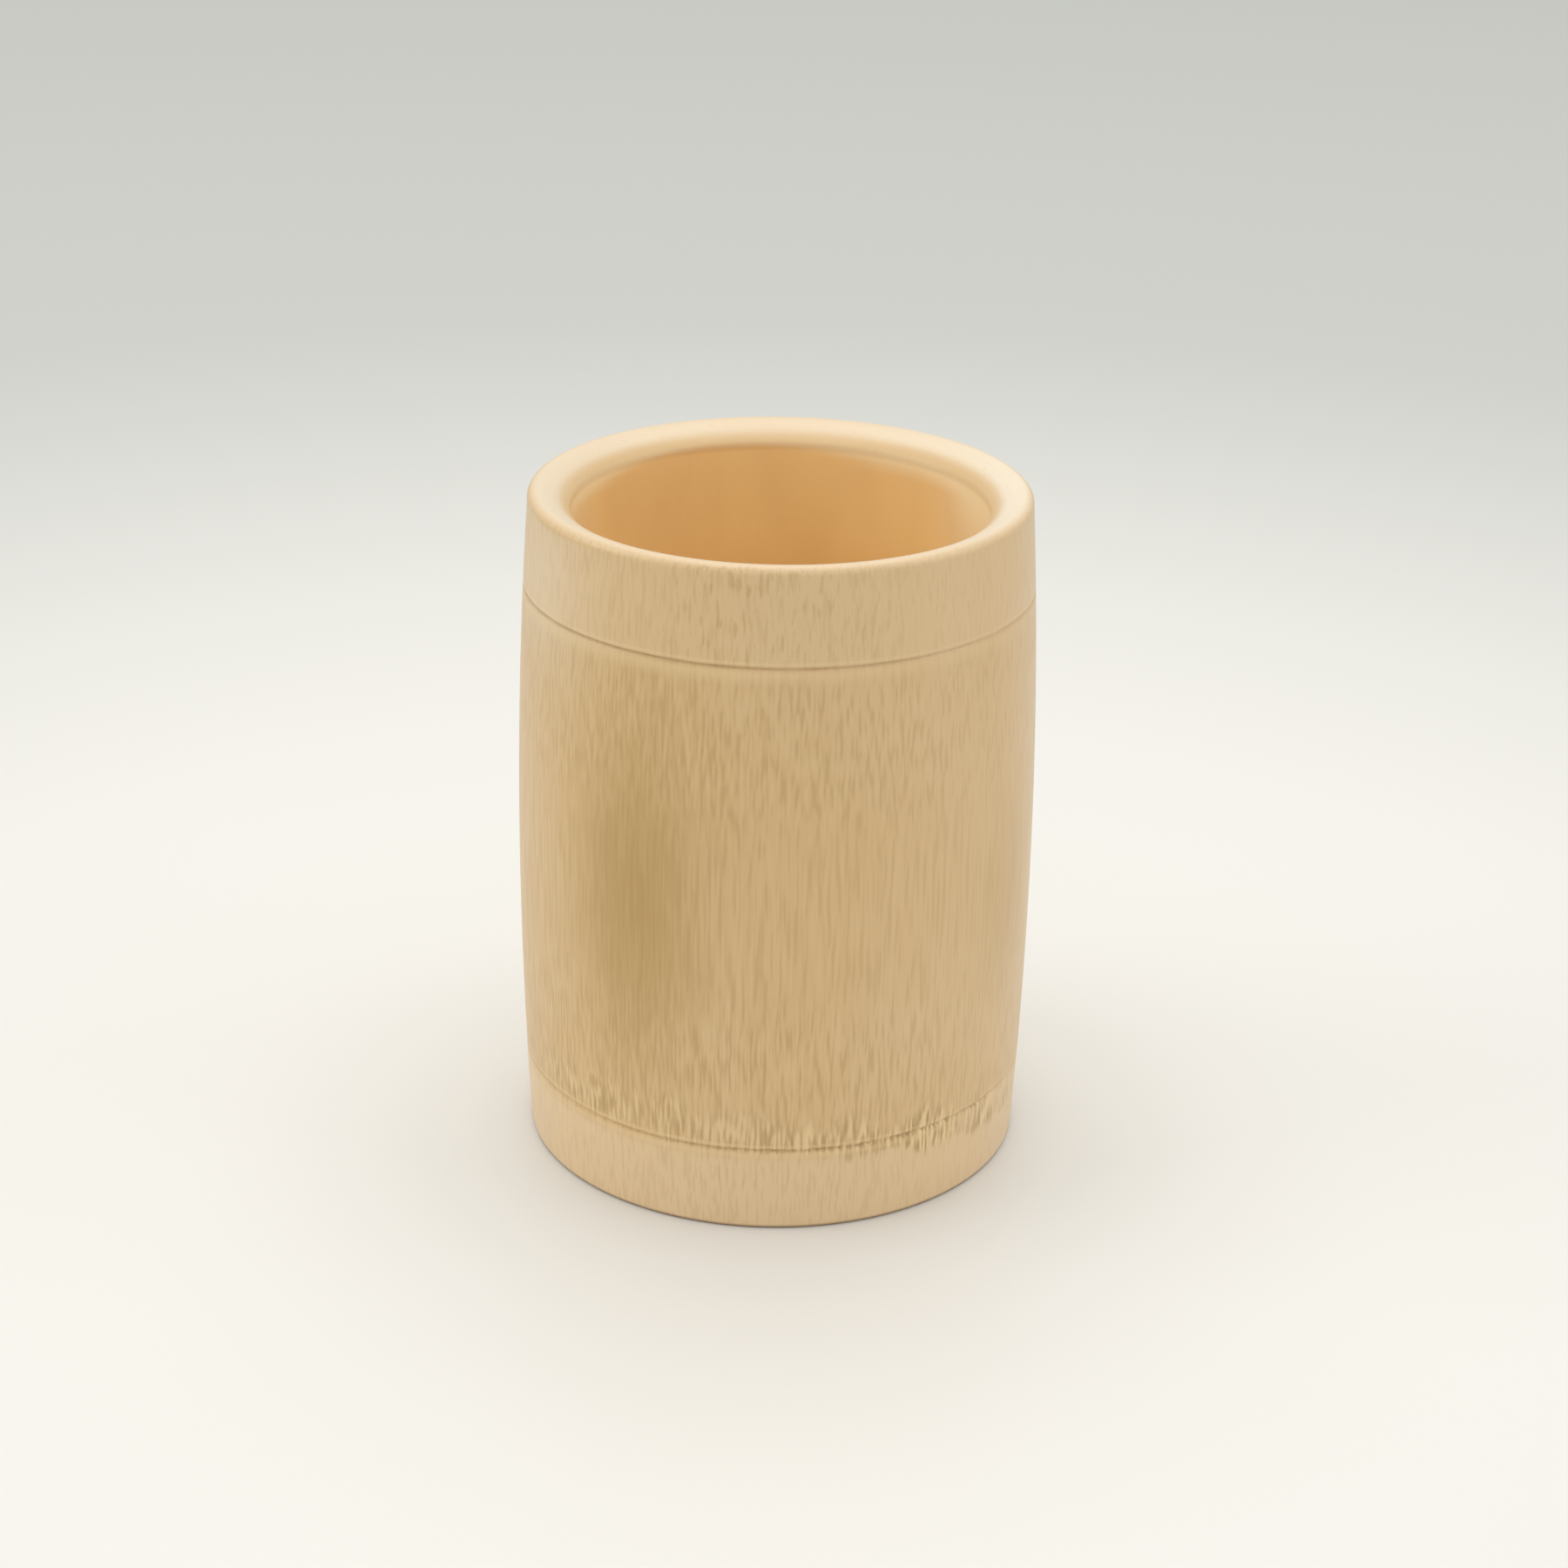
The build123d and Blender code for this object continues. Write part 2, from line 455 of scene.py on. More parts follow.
def scored_lines(sizes, turn, height, tufts):
    """Both scored lines: their depth as a share of the full V, and the heights of rows that wander with them.

    A line is a V in the height off its middle. The upper one leans: it is deeper on one side by the sine of
    the angle from the front. The lower one is deepest in front and behind, by the cosine of twice that
    angle. They are ragged where they cross the tufts, and the rows near them are moved with them by noise.
    """
    depth = np.zeros_like(height)
    moved = height
    level = np.zeros_like(height)
    round_cup = from_front(turn)
    lower_line, upper_line = line_heights(sizes)
    upper_depth = 0.68 - 0.22 * np.sin(round_cup)
    lower_depth = 0.47 + 0.19 * np.cos(2 * round_cup)
    upper = (UPPER_LINE_SEED, upper_line, 0.03 * MM, upper_depth)
    lower = (LOWER_LINE_SEED, lower_line, 0.07 * MM, lower_depth)
    for seed, line, wander, share in (upper, lower):
        off = height - line
        ragged = 0.1 * ring_noise(seed + 10, turn, level, 70, 1)
        ragged += 0.3 * tufts * ring_noise(seed + 20, turn, level, 380, 1)
        depth += np.clip(1 - np.abs(off) / sizes.score_depth, 0, 1) * (share + ragged)
        moved = moved + wander * ring_noise(seed, turn, level, 60, 1) * bell(off, 2 * MM)
    return np.clip(depth, 0, 1), moved


# Where light is painted on the bore's mouth: depth in millimetres, then middle and spread in degrees from the
# front
LIT_MOUTH = ((10.5, 93, 25), (3.5, -95, 31), (1.8, 145, 25))


def mouth_shade_field(bore_top, turn, height):
    """How far a place in the bore is amber: 1 deep down, and 0 at the mouth's two sides, where light is
    painted.

    The depth where the painted light ends is a deep bell round the right side plus shallow ones round the
    left and towards the back. The amber comes in by a smooth step that is wider where it starts deeper.
    """
    start = np.zeros_like(height)
    for depth, middle, spread in LIT_MOUTH:
        start += depth * MM * bell(from_front(turn - math.radians(middle)), math.radians(spread))
    least = 0.7 * MM
    soft = least + 0.6 * start
    return smooth_step(-soft, soft, bore_top + least - height - start)


# Patches on the outside: strength, middle and spread in degrees from the front, and middle and spread in
# millimetres up the cup
OLIVE_PATCHES = ((1.0, -31, 16, 56, 30), (0.35, 62, 11, 50, 16))
# Painted reflection: a pale patch on the band under the lip, towards the left edge
EDGE_REFLECTION_PATCHES = ((1.0, -62, 16, 104, 13),)


def patch_field(patches, off, height):
    """Sum of soft patches, each a bell round the cup times a bell up it."""
    total = np.zeros_like(height)
    for strength, middle, spread, level, reach in patches:
        across = bell(off - math.radians(middle), math.radians(spread))
        total += strength * across * bell(height - level * MM, reach * MM)
    return total


def wall_fields(sizes, section, turn):
    """Places of the wall's points, and the fields that its finish reads, as arrays of rows by columns.

    The outside is sunk by the lines' depth, by strands where there are tufts and by a broad unevenness.
    """
    radius = np.repeat(section.points[:, :1], len(turn), axis=1)
    height = np.repeat(section.points[:, 1:], len(turn), axis=1)
    turn = np.repeat(turn[None, :], len(radius), axis=0)
    barrel = section.barrel[:, None]

    tufts = tuft_field(sizes, turn, height) * barrel
    score, moved = scored_lines(sizes, turn, height, tufts)
    height = np.where(barrel, moved, height)
    strand_depth, uneven_depth = 0.06 * MM, 0.03 * MM
    strands = ring_noise(STRAND_SEED, turn, height, 200, 5 * MM)
    sunk = sizes.score_depth * score + strand_depth * tufts * (1 + strands)
    sunk += uneven_depth * (1 + ring_noise(BARREL_SEED, turn, height, 9, 40 * MM))
    radius = radius - sunk * barrel
    points = np.stack((radius * np.cos(turn), radius * np.sin(turn), height), axis=-1)

    # Fibres and dashes are strongest in front and behind. Painted light makes the ground lighter and rosier
    # on the right, and the lip's cut end whiter at both sides, most on the right.
    off = from_front(turn)
    rightward = np.sin(off)
    zones = {name: weight[:, None] * np.ones_like(height) for name, weight in section.zones(sizes).items()}
    fields = {
        "score": score * barrel,
        "tufts": tufts,
        "fibre": np.maximum(0.7 + 0.28 * np.cos(2 * off) - 0.18 * rightward, 0.36),
        "dashes": 0.1 + 0.9 * np.cos(off + math.radians(12)) ** 4,
        "olive": patch_field(OLIVE_PATCHES, off, height) * barrel,
        # Painted light on the right side
        "rosy_light_and_tone": 0.5 + 0.5 * rightward,
        # Painted light on the lip's sides, most on the right
        "whiter": rightward**2 * (0.7 + 0.3 * rightward),
        # Painted reflection on the band under the lip
        "pale": patch_field(EDGE_REFLECTION_PATCHES, off, height) * barrel,
        # Painted light at the mouth's sides, painted shade on the inner lip behind
        "amber": mouth_shade_field(section.bore_top, turn, height),
    }
    return points, fields | zones


def lay_bake_map(mesh, section, columns):
    """Lays the wall's map: the front and back halves of the outside, the inside and the foot as level strips.

    A strip's width is the way round, and its height the way along the section, each squeezed to fit.
    """
    rows = len(section.points)
    steps = np.linalg.norm(np.diff(section.points, axis=0, append=section.points[:1]), axis=1)
    along = np.concatenate(((0,), np.cumsum(steps)))
    row = np.repeat(np.arange(rows), columns)
    column = np.tile(np.arange(columns), rows)
    half = columns // 2
    outer, inner = row < section.crest, (row >= section.crest) & (row < section.floor_edge)
    front = outer & (column >= half)
    # Each strip's faces, foot and height on the map, and first row
    strips = (
        (outer & ~front, 0.0, 0.36, 0),
        (front, 0.37, 0.36, 0),
        (inner, 0.74, 0.17, section.crest),
        (~outer & ~inner, 0.92, 0.08, section.floor_edge),
    )
    ends = {0: section.crest, section.crest: section.floor_edge, section.floor_edge: rows}
    u = np.zeros((len(row), 4))
    v = np.zeros((len(row), 4))
    for chosen, low, height, first in strips:
        start, end = along[first], along[ends[first]]
        for corner, (over, up) in enumerate(((0, 0), (1, 0), (1, 1), (0, 1))):
            wide = half if first == 0 else columns
            place = (column + over - np.where(front, half, 0)) / wide
            u[chosen, corner] = place[chosen]
            v[chosen, corner] = low + height * (along[row[chosen] + up] - start) / (end - start)
    layer = mesh.uv_layers.new(name="OFBake")
    layer.uv.foreach_set("vector", np.stack((u, v), axis=-1).astype(np.float32).ravel())


def turn_wall(sizes, colours):
    """The culm wall: its section carried round the axis in a grid that closes both ways."""
    section = WallSection(sizes)
    turn = np.arange(WALL_COLUMNS) * (2 * math.pi / WALL_COLUMNS)
    points, fields = wall_fields(sizes, section, turn)
    faces = grid_faces(len(section.points), WALL_COLUMNS, closed=True).tolist()
    finish = culm_finish(sizes, colours)
    wall = make_piece("turned_culm_wall", points, faces, "culm_wall", finish)
    for name, values in fields.items():
        store(wall.data, name, values)
    lay_bake_map(wall.data, section, WALL_COLUMNS)
    return wall


# The node's diaphragm

SEPTUM_COLUMNS = 240


def lay_diaphragm(sizes, colours):
    """The diaphragm: floor, edge and underside carried round the axis, with both middles closed on a pole.

    Each face is hollowed by a parabola, and noise that fades at the rim and in the middle makes the floor
    uneven.
    """
    rim = sizes.septum_radius
    ring = rim + sizes.seat_clearance - sizes.ring_width
    under = np.linspace(0, ring, 16)[1:]
    floor = np.linspace(rim, 0, 26)[:-1]
    radius = np.concatenate((under, (rim,), floor))[:, None]
    hollow_under = sizes.septum_dish * (1 - (under / ring) ** 2)
    hollow_floor = sizes.septum_dish * (1 - (floor / rim) ** 2)
    height = np.concatenate(
        (sizes.ledge_level + hollow_under, (sizes.ledge_level,), sizes.floor_level - hollow_floor)
    )
    turn = np.arange(SEPTUM_COLUMNS)[None, :] * (2 * math.pi / SEPTUM_COLUMNS)
    turn = np.repeat(turn, len(radius), axis=0)
    calm = smooth_step(rim, rim - 4 * MM, radius) * smooth_step(0, 3 * MM, radius)
    wrinkle_depth, middle_sink = 0.12 * MM, 0.05 * MM
    wrinkles = ring_noise(WRINKLE_SEED, turn, radius, 26, 3 * MM)
    wrinkles += 0.5 * ring_noise(FINE_WRINKLE_SEED, turn, radius, 60, 1.6 * MM)
    upward = np.where(np.arange(len(radius)) > len(under), 1.0, 0.0)[:, None]
    height = height[:, None] + wrinkle_depth * (wrinkles - 1) * calm * upward
    points = np.stack((radius * np.cos(turn), radius * np.sin(turn), height), axis=-1).reshape(-1, 3)
    poles = np.array(
        (
            (0, 0, sizes.ledge_level + sizes.septum_dish),
            (0, 0, sizes.floor_level - sizes.septum_dish - middle_sink),
        )
    )
    rows, ring_points = len(radius), np.arange(SEPTUM_COLUMNS)
    first_pole = rows * SEPTUM_COLUMNS
    faces = grid_faces(rows, SEPTUM_COLUMNS, closed=False).tolist()
    faces += fan_faces(ring_points, first_pole, outward=False).tolist()
    faces += fan_faces(ring_points + (rows - 1) * SEPTUM_COLUMNS, first_pole + 1, outward=True).tolist()
    points = np.concatenate((points, poles))
    finish = diaphragm_finish(colours)
    return make_piece("diaphragm_floor", points, faces, "node_diaphragm", finish)


# Finishes

NOISE_ROUGHNESS = 0.55
VARNISH = {"IOR": 1.47, "Coat_Roughness": 0.3}

# How far each mark covers the colours under it: marks of the culm, and painted light and shade
OLIVE_COVER = 0.9
# Painted reflection on the band under the lip
EDGE_REFLECTION_COVER = 0.5
LIP_BAND_COVER = 0.35
LIP_DASH_COVER, FOOT_DASH_COVER = 0.36, 0.18
TUFT_GAP_COVER, TUFT_COVER = 0.43, 0.68
# Painted highlights beside the scored lines
LINE_HIGHLIGHT_COVER = 0.5
# Painted shade in the scored lines and at the foot's edge
SCORE_SHADE_COVER, FOOT_SHADE_COVER = 0.2, 0.8
LIP_DOT_COVER, FOOT_DOT_COVER = 0.14, 0.7


class Finish:
    """A material's node tree. Each call adds nodes and gives back the output of the last."""

    def __init__(self, name):
        self.material = bpy.data.materials.new(name)
        self.material.use_nodes = True
        self.tree = self.material.node_tree
        self.tree.nodes.clear()

    def add(self, kind, inputs=None, output=0, **settings):
        """One node of a kind, with its settings, and its inputs linked or set by name or number."""
        node = self.tree.nodes.new("ShaderNode" + kind)
        for name, value in settings.items():
            setattr(node, name, value)
        for key, value in (inputs or {}).items():
            if isinstance(value, bpy.types.NodeSocket):
                self.tree.links.new(value, node.inputs[key])
            else:
                node.inputs[key].default_value = value
        return node.outputs[output]

    def place(self):
        """Object coordinates, in metres."""
        return self.add("TexCoord", output="Object")

    def field(self, name):
        """A number kept on the mesh's vertices."""
        return self.add("Attribute", output="Fac", attribute_name=name)

    def noise(self, vector, wide, tall, detail=2.0, shift=0.0):
        """Noise whose grains are wide across and tall along the axis, in metres, moved by shift to differ."""
        scale = (1 / wide, 1 / wide, 1 / tall)
        grains = self.add("Mapping", {"Vector": vector, "Location": (shift, shift, shift), "Scale": scale})
        return self.cloud(grains, detail)

    def cloud(self, vector, detail):
        """Noise with grains of about one unit of the vector."""
        inputs = {"Vector": vector, "Scale": 1.0, "Detail": detail, "Roughness": NOISE_ROUGHNESS}
        return self.add("TexNoise", inputs)

    def ramp(self, value, low, high, start=0.0, end=1.0):
        """Start below low and end above high, with a smooth step between."""
        places = {0: value, 1: low, 2: high, 3: start, 4: end}
        return self.add("MapRange", places, interpolation_type="SMOOTHSTEP")

    def band(self, value, low, high, soft):
        """1 between low and high, fading to 0 over soft to either side of each."""
        rise = self.ramp(value, low - soft, low + soft)
        fall = self.ramp(value, high + soft, high - soft)
        return self.times(rise, fall)

    def math(self, operation, first, second=0.0):
        """One operation on two numbers."""
        return self.add("Math", {0: first, 1: second}, operation=operation)

    def times(self, *factors):
        """Product of several numbers."""
        product = factors[0]
        for factor in factors[1:]:
            product = self.math("MULTIPLY", product, factor)
        return product

    def blend(self, amount, under, over):
        """The colour under, covered by the colour over as far as amount says."""
        colours = {0: amount}
        for socket, colour in ((6, under), (7, over)):
            colours[socket] = colour if isinstance(colour, bpy.types.NodeSocket) else (*colour, 1)
        return self.add("Mix", colours, output=2, data_type="RGBA")

    def bump(self, height, depth, under=None):
        """Normals of a relief whose full height is depth, in metres, over the normals under it."""
        inputs = {"Height": height, "Distance": depth, "Strength": 1.0}
        if under is not None:
            inputs["Normal"] = under
        return self.add("Bump", inputs)

    def close(self, **inputs):
        """The shader that the rest feeds and the material's output. Gives back the material."""
        sockets = {name.replace("_", " "): value for name, value in inputs.items()}
        shader = self.add("BsdfPrincipled", sockets)
        output = self.tree.nodes.new("ShaderNodeOutputMaterial")
        self.tree.links.new(shader, output.inputs["Surface"])
        return self.material


def culm_finish(sizes, colours):
    """Turned and varnished culm: fibres, tufts at the node, end grain at lip and foot, an amber bore.

    Each mark is a colour laid over those before it, as far as its noise, its field and its cover say.
    """
    f = Finish("varnished_culm")
    lower_line, upper_line = line_heights(sizes)
    place = f.place()
    height = f.add("SeparateXYZ", {0: place}, output="Z")
    tufts, fibre = f.field("tufts"), f.field("fibre")

    # The fibres waver a little, and less at the node.
    waver = f.noise(place, 4 * MM, 7 * MM, detail=1.0, shift=3.0)
    swing = f.math("MULTIPLY", f.math("SUBTRACT", waver, 0.5), f.ramp(tufts, 0, 1, 0.5 * MM, 0.35 * MM))
    bent = f.add("VectorMath", {0: place, 1: f.add("CombineXYZ", {0: swing, 1: swing})}, operation="ADD")

    # Long fibres in the middle, short flames towards the mouth and the node, dashes in the two bands.
    long_fibres = f.noise(bent, 0.54 * MM, 10 * MM, detail=0.4)
    upper_flames = f.noise(bent, 0.56 * MM, 4.2 * MM, detail=0.4, shift=13.0)
    lower_flames = f.noise(bent, 0.46 * MM, 5.4 * MM, detail=0.4, shift=19.0)
    high, low = f.ramp(height, 60 * MM, 80 * MM), f.ramp(height, 50 * MM, 32 * MM)
    grain = f.add("Mix", {0: high, 2: long_fibres, 3: upper_flames}, data_type="FLOAT")
    grain = f.add("Mix", {0: low, 2: grain, 3: lower_flames}, data_type="FLOAT")
    band_foot, body_foot = lower_line - 2.7 * MM, lower_line + 0.3 * MM
    upper_band = f.ramp(height, upper_line - 0.7 * MM, upper_line + 0.8 * MM)
    foot_band = f.ramp(height, body_foot, band_foot)
    under_lip_band = f.ramp(height, upper_line + 0.8 * MM, upper_line - 6.2 * MM)
    body = f.times(under_lip_band, f.ramp(height, band_foot, body_foot))
    strength = f.math("ADD", f.ramp(high, 0, 1, 0.3, 0.38), f.times(low, 0.15))
    grain_amount = f.times(fibre, strength, f.ramp(body, 0, 1, 0.45, 1.0))
    dashes = f.ramp(f.noise(place, 0.62 * MM, 3.2 * MM, detail=0.5, shift=11.0), 0.54, 0.72)
    dash_places = f.ramp(f.noise(place, 12 * MM, 16 * MM, detail=1.0, shift=23.0), 0.3, 0.56, 0.25, 1.0)
    dash_cover = f.math("ADD", f.times(upper_band, LIP_DASH_COVER), f.times(foot_band, FOOT_DASH_COVER))
    dash_amount = f.times(dash_places, f.field("dashes"), dash_cover)
    strokes = f.noise(bent, 0.54 * MM, 4.0 * MM, detail=0.6, shift=17.0)
    broad = f.noise(place, 20 * MM, 45 * MM, detail=1.5, shift=7.0)
    stain = f.field("olive")

    # Painted light on the right side, with random broad tone
    rosy_light_and_tone = f.math("ADD", f.field("rosy_light_and_tone"), f.ramp(broad, 0.3, 0.7, -0.3, 0.3))
    colour = f.blend(rosy_light_and_tone, colours.culm, colours.culm_rosy_and_lit)
    colour = f.blend(f.times(stain, OLIVE_COVER), colour, colours.olive)
    # Painted reflection: a pale patch on the band under the lip, towards the left edge.
    colour = f.blend(f.times(f.field("pale"), EDGE_REFLECTION_COVER), colour, colours.pale_light)
    # Painted light: the band below the node is paler, for the light that the floor bounces onto it.
    colour = f.blend(f.times(foot_band, f.ramp(tufts, 0, 1.2, 0.8, 0.35)), colour, colours.foot)
    colour = f.blend(f.times(upper_band, LIP_BAND_COVER), colour, colours.foot)
    colour = f.blend(f.times(f.ramp(grain, 0.48, 0.72), grain_amount), colour, colours.fibre_dark)
    pale_amount = f.times(grain_amount, f.ramp(stain, 0, 1, 1.0, 0.4))
    colour = f.blend(f.times(f.ramp(grain, 0.52, 0.28), pale_amount), colour, colours.fibre_pale)
    colour = f.blend(f.times(dashes, dash_amount), colour, colours.fibre_dark)
    colour = f.blend(f.times(f.ramp(strokes, 0.48, 0.66), tufts, TUFT_GAP_COVER), colour, colours.tuft_dark)
    colour = f.blend(f.times(f.ramp(strokes, 0.52, 0.36), tufts, TUFT_COVER), colour, colours.tuft_pale)

    # Painted highlights: a pale strip above each line, and one below it that ends in a long soft tail.
    for line, tail in ((lower_line, 1.8 * MM), (upper_line, 3.2 * MM)):
        above = f.band(height, line + 0.55 * MM, line + 1.0 * MM, 0.3 * MM)
        brightest = line - 0.8 * MM
        below = f.times(f.ramp(height, line - tail, brightest), f.ramp(height, line - 0.2 * MM, brightest))
        strips = f.times(f.math("ADD", above, below), fibre, LINE_HIGHLIGHT_COVER)
        colour = f.blend(strips, colour, colours.tuft_pale)
    # Painted shade: the bottom of each scored line is darkened beyond the shade of its V.
    colour = f.blend(f.ramp(f.field("score"), 0.0, 0.8, 0.0, SCORE_SHADE_COVER), colour, colours.score)
    # Painted shade: the foot's rounded edge is darkened, as the floor's contact shadow would darken it.
    colour = f.blend(f.times(f.field("foot_shade"), FOOT_SHADE_COVER), colour, colours.score)

    # Across the grain the bundles show as dots, plainest on the raw end under the foot.
    dot_spacing = 1.1 * MM
    cells = f.add("Mapping", {"Vector": place, "Scale": (1 / dot_spacing,) * 3})
    spots = f.add("TexVoronoi", {"Vector": cells, "Scale": 1.0}, output="Distance")
    dots = f.ramp(spots, 0.36, 0.12, 0.0, LIP_DOT_COVER)
    # Painted light: the lip's cut end is whiter at its sides, most on the right.
    cut_end = f.blend(f.field("whiter"), colours.end_grain, colours.pale_light)
    colour = f.blend(f.field("lip"), colour, f.blend(dots, cut_end, colours.end_dot))
    # Painted shade on the inner lip where it is amber; painted light leaves it paler at the sides.
    bevel = f.blend(f.field("amber"), colours.bevel, colours.bevel_shade)
    colour = f.blend(f.field("bevel"), colour, f.blend(dots, bevel, colours.end_dot))
    foot_dots = f.ramp(spots, 0.36, 0.12, 0.0, FOOT_DOT_COVER)
    colour = f.blend(f.field("under"), colour, f.blend(foot_dots, colours.end_grain, colours.end_dot))

    # Painted light: the bore is lighter further down, against the shade there, and darker at its mouth, in
    # soft broad streaks.
    soft = f.noise(place, 12 * MM, 40 * MM, detail=1.0, shift=29.0)
    mouth = f.math("ADD", f.ramp(height, 88 * MM, 108 * MM), f.ramp(soft, 0.3, 0.7, -0.3, 0.3))
    bore = f.blend(mouth, colours.inside, colours.inside_dark)
    # Painted light: the bore's mouth is pale at its two sides.
    bore = f.blend(f.field("amber"), colours.inside_lit, bore)
    colour = f.blend(f.field("inside"), colour, bore)

    roughness = f.ramp(grain, 0.3, 0.7, 0.42, 0.52)
    relief = f.bump(f.times(grain, fibre), 0.03 * MM)
    relief = f.bump(f.times(strokes, tufts), 0.05 * MM, relief)
    return f.close(Base_Color=colour, Roughness=roughness, Normal=relief, Coat_Weight=0.45, **VARNISH)


def diaphragm_finish(colours):
    """The node's tissue: fibres laid round the axis, mottled, darker at the rim, under the same varnish."""
    f = Finish("varnished_node")
    place = f.place()
    flat = f.add("VectorMath", {0: place, 1: (1, 1, 0)}, operation="MULTIPLY")
    radius = f.add("VectorMath", {0: flat}, output="Value", operation="LENGTH")
    heading = f.add("VectorMath", {0: flat}, operation="NORMALIZE")
    ring_spacing, breaks = 0.9 * MM, 2.4  # breaks are counted in a radian of each ring
    outward = f.add("CombineXYZ", {2: f.math("DIVIDE", radius, ring_spacing)})
    around = f.add("VectorMath", {0: heading, 1: (breaks, breaks, 0), 2: outward}, operation="MULTIPLY_ADD")
    rings = f.cloud(around, detail=2.0)
    mottle = f.noise(place, 7 * MM, 7 * MM, detail=2.0)
    colour = f.blend(f.ramp(mottle, 0.3, 0.7, 0.0, 0.5), colours.septum, colours.septum_dark)
    colour = f.blend(f.ramp(rings, 0.4, 0.7, 0.0, 0.28), colour, colours.septum_dark)
    colour = f.blend(f.ramp(radius, 24 * MM, 30 * MM, 0.0, 0.4), colour, colours.septum_dark)
    relief = f.bump(rings, 0.03 * MM)
    roughness = f.ramp(mottle, 0.3, 0.7, 0.45, 0.6)
    return f.close(Base_Color=colour, Roughness=roughness, Normal=relief, Coat_Weight=0.12, **VARNISH)


def floor_finish(stage):
    """A plain pale floor with a soft sheen, which greys with distance from the cup."""
    f = Finish("pale_floor")
    near, far = 80 * MM, 600 * MM
    away = f.add("VectorMath", {0: f.place()}, output="Value", operation="LENGTH")
    colour = f.blend(f.ramp(away, near, far), stage.floor_near, stage.floor_far)
    return f.close(Base_Color=colour, Roughness=0.4)


# The stage

SENSOR_WIDTH = 36  # millimetres
FLOOR_HALF = 40.0  # metres, as are the softboxes' width and places
SOFTBOX_WIDTH = 1.6
SOFTBOX_PLACES = {"overhead": (0, 0.4, 1.7), "left": (-2.2, -0.25, 1.4), "right": (2.2, -0.25, 1.4)}


def set_camera(stage):
    """The camera, set back from the axis along its pitch.

    It looks down by pitch and to the right by yaw, and is then rolled.
    """
    down, side, roll = stage.pitch, stage.yaw, stage.roll
    back = Vector((0, math.cos(down), -math.sin(down))) * stage.distance
    forward = Vector((math.sin(side) * math.cos(down), math.cos(side) * math.cos(down), -math.sin(down)))
    level = Vector((math.cos(side), -math.sin(side), 0))
    upright = level.cross(forward)
    right = math.cos(roll) * level + math.sin(roll) * upright
    up = math.cos(roll) * upright - math.sin(roll) * level
    turned = Matrix((right, up, -forward)).transposed().to_4x4()
    data = bpy.data.cameras.new("view")
    data.lens = stage.lens
    data.sensor_width = SENSOR_WIDTH
    camera = bpy.data.objects.new("view", data)
    camera.matrix_world = Matrix.Translation(Vector((0, 0, stage.aim_height)) - back) @ turned
    bpy.context.scene.collection.objects.link(camera)
    bpy.context.scene.camera = camera


def add_softbox(name, place, watts, aim):
    """A square area light at a place, turned to a point."""
    data = bpy.data.lights.new(name, "AREA")
    data.size = SOFTBOX_WIDTH
    data.energy = watts
    lamp = bpy.data.objects.new(name, data)
    lamp.location = place
    lamp.rotation_euler = (aim - Vector(place)).to_track_quat("-Z", "Y").to_euler()
    bpy.context.scene.collection.objects.link(lamp)


def add_floor(stage):
    """A flat floor at the foot's level, far wider than the view."""
    mesh = bpy.data.meshes.new("floor")
    corners = [(x * FLOOR_HALF, y * FLOOR_HALF, 0) for x, y in ((-1, -1), (1, -1), (1, 1), (-1, 1))]
    mesh.from_pydata(corners, [], ((0, 1, 2, 3),))
    mesh.materials.append(floor_finish(stage))
    floor = bpy.data.objects.new("floor", mesh)
    bpy.context.scene.collection.objects.link(floor)


def set_sky(stage):
    """An even pale sky for light, with a plain backdrop where it is seen, reflected or seen through."""
    world = bpy.data.worlds.new("studio")
    world.use_nodes = True
    tree = world.node_tree
    light = tree.nodes["Background"]
    light.inputs["Color"].default_value = (*stage.sky, 1)
    light.inputs["Strength"].default_value = stage.sky_level
    seen = tree.nodes.new("ShaderNodeBackground")
    seen.inputs["Color"].default_value = (*stage.backdrop, 1)
    path = tree.nodes.new("ShaderNodeLightPath")
    seeing = path.outputs["Is Camera Ray"]
    for ray in ("Is Glossy Ray", "Is Transmission Ray"):
        either = tree.nodes.new("ShaderNodeMath")
        either.operation = "MAXIMUM"
        tree.links.new(seeing, either.inputs[0])
        tree.links.new(path.outputs[ray], either.inputs[1])
        seeing = either.outputs[0]
    chosen = tree.nodes.new("ShaderNodeMixShader")
    tree.links.new(seeing, chosen.inputs[0])
    tree.links.new(light.outputs["Background"], chosen.inputs[1])
    tree.links.new(seen.outputs["Background"], chosen.inputs[2])
    tree.links.new(chosen.outputs["Shader"], tree.nodes["World Output"].inputs["Surface"])
    bpy.context.scene.world = world


# Operators and panel

class CUP_OT_turn_wall(bpy.types.Operator):
    """Turn the culm wall with its lip, bore, scored lines and node fringe"""

    bl_idname = "cup.turn_wall"
    bl_label = "Turn culm wall"

    def execute(self, context):
        turn_wall(context.scene.cup_sizes, context.scene.cup_colours)
        return {"FINISHED"}


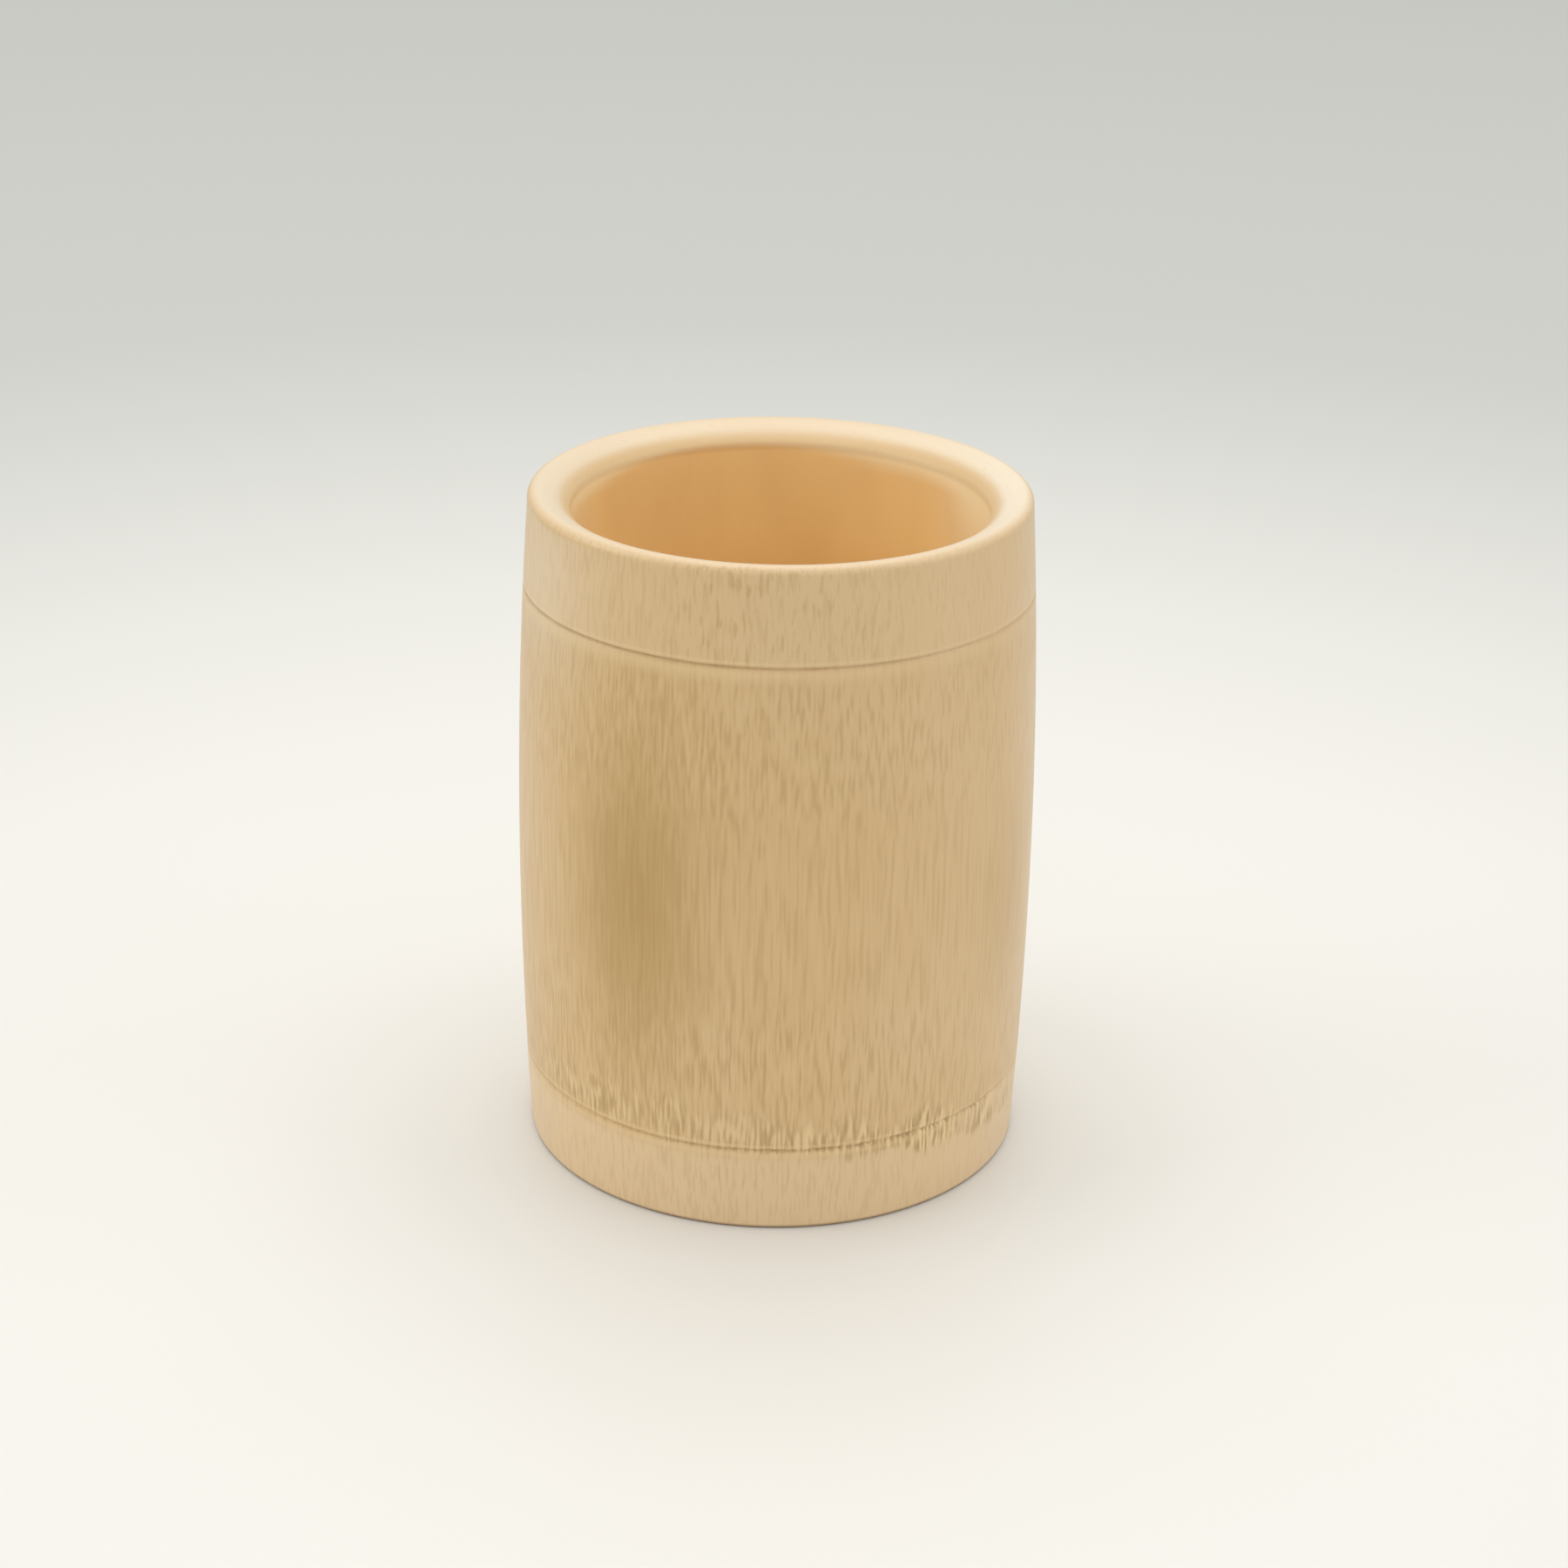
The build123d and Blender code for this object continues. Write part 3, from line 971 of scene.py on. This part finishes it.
class CUP_OT_lay_diaphragm(bpy.types.Operator):
    """Lay the node's diaphragm on its ledge"""

    bl_idname = "cup.lay_diaphragm"
    bl_label = "Lay diaphragm"

    def execute(self, context):
        lay_diaphragm(context.scene.cup_sizes, context.scene.cup_colours)
        return {"FINISHED"}


class CUP_OT_set_stage(bpy.types.Operator):
    """Set the floor, the lights and the camera"""

    bl_idname = "cup.set_stage"
    bl_label = "Set stage"

    def execute(self, context):
        stage = context.scene.cup_stage
        aim = Vector((0, 0, stage.aim_height))
        add_floor(stage)
        set_sky(stage)
        watts = {"overhead": stage.top_watts, "left": stage.left_watts, "right": stage.right_watts}
        for name, place in SOFTBOX_PLACES.items():
            add_softbox(name, place, watts[name], aim)
        set_camera(stage)
        context.scene.view_settings.view_transform = "Standard"
        return {"FINISHED"}


class CUP_PT_maker(bpy.types.Panel):
    """Lists what makes the cup and its stage"""

    bl_idname = "CUP_PT_maker"
    bl_label = "Bamboo cup"
    bl_space_type = "VIEW_3D"
    bl_region_type = "UI"
    bl_category = "Bamboo cup"

    def draw(self, context):
        for group in (context.scene.cup_sizes, context.scene.cup_colours, context.scene.cup_stage):
            box = self.layout.box()
            for name in group.__annotations__:
                box.prop(group, name)
        for operator in (CUP_OT_turn_wall, CUP_OT_lay_diaphragm, CUP_OT_set_stage):
            self.layout.operator(operator.bl_idname)


CLASSES = (
    CupSizes,
    CupColours,
    CupStage,
    CUP_OT_turn_wall,
    CUP_OT_lay_diaphragm,
    CUP_OT_set_stage,
    CUP_PT_maker,
)


def register():
    """Registers the classes and hangs the properties on the scene."""
    for kind in CLASSES:
        bpy.utils.register_class(kind)
    bpy.types.Scene.cup_sizes = PointerProperty(type=CupSizes)
    bpy.types.Scene.cup_colours = PointerProperty(type=CupColours)
    bpy.types.Scene.cup_stage = PointerProperty(type=CupStage)


def unregister():
    """Takes the properties and the classes away again."""
    for name in ("cup_sizes", "cup_colours", "cup_stage"):
        delattr(bpy.types.Scene, name)
    for kind in reversed(CLASSES):
        bpy.utils.unregister_class(kind)


def main():
    """Makes the cup and its stage."""
    register()
    bpy.ops.cup.turn_wall()
    bpy.ops.cup.lay_diaphragm()
    bpy.ops.cup.set_stage()


if __name__ == "__main__":
    main()
